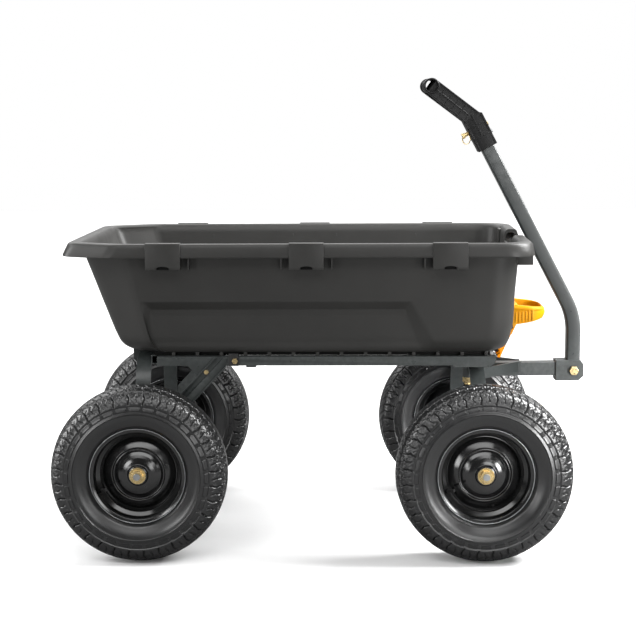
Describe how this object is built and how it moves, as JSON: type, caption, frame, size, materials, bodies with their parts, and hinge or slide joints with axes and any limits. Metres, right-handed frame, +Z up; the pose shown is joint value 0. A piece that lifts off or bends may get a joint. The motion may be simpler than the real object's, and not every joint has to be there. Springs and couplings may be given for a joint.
{
  "type": "tipping dump cart",
  "caption": "Four-wheeled garden cart with a moulded tub that tips to the rear, a steered front axle, a folding pull handle with a D-grip and a hand latch.",
  "frame": {"origin": "middle of the footprint, on the ground", "axes": "+X forward, towards the pull handle; +Y to the cart's left; +Z up"},
  "size_m": [1.2611, 0.8222, 1.0974],
  "materials": {
    "frame_paint": "satin powder coat",
    "bare_steel": "turned",
    "yellow_zinc": "yellow zinc plate",
    "tub_plastic": "fine moulded grain",
    "grip_plastic": "satin",
    "lever_plastic": "semi-gloss",
    "rim_paint": "gloss",
    "tyre_rubber": "matt",
    "valve_rubber": "matt"
  },
  "bodies": {
    "chassis": {"rail_left": "frame_paint", "rail_right": "frame_paint", "front_crossmember": "frame_paint", "rear_crossmember": "frame_paint", "upper_turntable": "frame_paint", "rear_hoop": "frame_paint", "rear_axle": "bare_steel", "rear_axle_nuts": "yellow_zinc", "gusset_left": "frame_paint", "gusset_right": "frame_paint", "brace_left": "frame_paint", "brace_right": "frame_paint", "rest_blocks": "valve_rubber", "frame_bolts": "yellow_zinc", "hinge_lugs": "frame_paint", "hinge_rod": "bare_steel", "rod_clips": "yellow_zinc", "latch_bracket": "frame_paint", "latch_pivot": "bare_steel", "latch_spring": "bare_steel"},
    "steering": {"lower_turntable": "frame_paint", "front_hoop": "frame_paint", "front_axle": "bare_steel", "front_axle_nuts": "yellow_zinc", "kingpin": "yellow_zinc", "kingpin_nut": "yellow_zinc", "draw_plate_left": "frame_paint", "draw_plate_right": "frame_paint", "tongue": "frame_paint", "clevis": "frame_paint", "clevis_bolt": "yellow_zinc", "clevis_nut": "yellow_zinc"},
    "handle": {"handle_tube": "frame_paint", "handle_bush": "bare_steel", "grip": "grip_plastic", "grip_screws": "bare_steel"},
    "pull_pin": {"hitch_pin": "yellow_zinc", "pin_ring": "yellow_zinc"},
    "tub": {"tub": "tub_plastic", "hinge_bracket_left": "frame_paint", "hinge_bracket_right": "frame_paint", "tub_bolts": "yellow_zinc", "latch_striker": "frame_paint"},
    "latch": {"latch_lever": "lever_plastic"},
    "wheel_rear_left": {"tyre_rear_left": "tyre_rubber", "rim_rear_left": "rim_paint", "bearings_rear_left": "bare_steel", "valve_rear_left": "valve_rubber"},
    "wheel_rear_right": {"tyre_rear_right": "tyre_rubber", "rim_rear_right": "rim_paint", "bearings_rear_right": "bare_steel", "valve_rear_right": "valve_rubber"},
    "wheel_front_left": {"tyre_front_left": "tyre_rubber", "rim_front_left": "rim_paint", "bearings_front_left": "bare_steel", "valve_front_left": "valve_rubber"},
    "wheel_front_right": {"tyre_front_right": "tyre_rubber", "rim_front_right": "rim_paint", "bearings_front_right": "bare_steel", "valve_front_right": "valve_rubber"}
  },
  "joints": [
    {"name": "steer", "type": "hinge", "parent": "chassis", "child": "steering", "pos_m": [0.3465, 0, 0.43], "axis": [0, 0, 1], "range_deg": [-27.6, 22.4]},
    {"name": "handle_fold", "type": "hinge", "parent": "steering", "child": "handle", "pos_m": [0.60573, 0.01177, 0.383], "axis": [-0.0454, 0.999, 0], "range_deg": [0, 140]},
    {"name": "tub_tip", "type": "hinge", "parent": "chassis", "child": "tub", "pos_m": [-0.427, 0, 0.44], "axis": [0, -1, 0], "range_deg": [0, 75]},
    {"name": "latch_turn", "type": "hinge", "parent": "chassis", "child": "latch", "pos_m": [0.447, 0, 0.5], "axis": [0, -1, 0], "range_deg": [-5, 14], "stiffness_Nm_per_rad": 4},
    {"name": "pull_pin_slide", "type": "slide", "parent": "handle", "child": "pull_pin", "axis": [-0.8849, -0.0402, -0.4641], "range_m": [0, 0.05]},
    {"name": "wheel_rear_left_spin", "type": "hinge", "parent": "chassis", "child": "wheel_rear_left", "pos_m": [-0.427, 0.3385, 0.203], "axis": [0, 1, 0], "continuous": true},
    {"name": "wheel_rear_right_spin", "type": "hinge", "parent": "chassis", "child": "wheel_rear_right", "pos_m": [-0.427, -0.3385, 0.203], "axis": [0, 1, 0], "continuous": true},
    {"name": "wheel_front_left_spin", "type": "hinge", "parent": "steering", "child": "wheel_front_left", "pos_m": [0.33115, 0.33815, 0.203], "axis": [-0.0454, 0.999, 0], "continuous": true},
    {"name": "wheel_front_right_spin", "type": "hinge", "parent": "steering", "child": "wheel_front_right", "pos_m": [0.36185, -0.33815, 0.203], "axis": [-0.0454, 0.999, 0], "continuous": true}
  ]
}
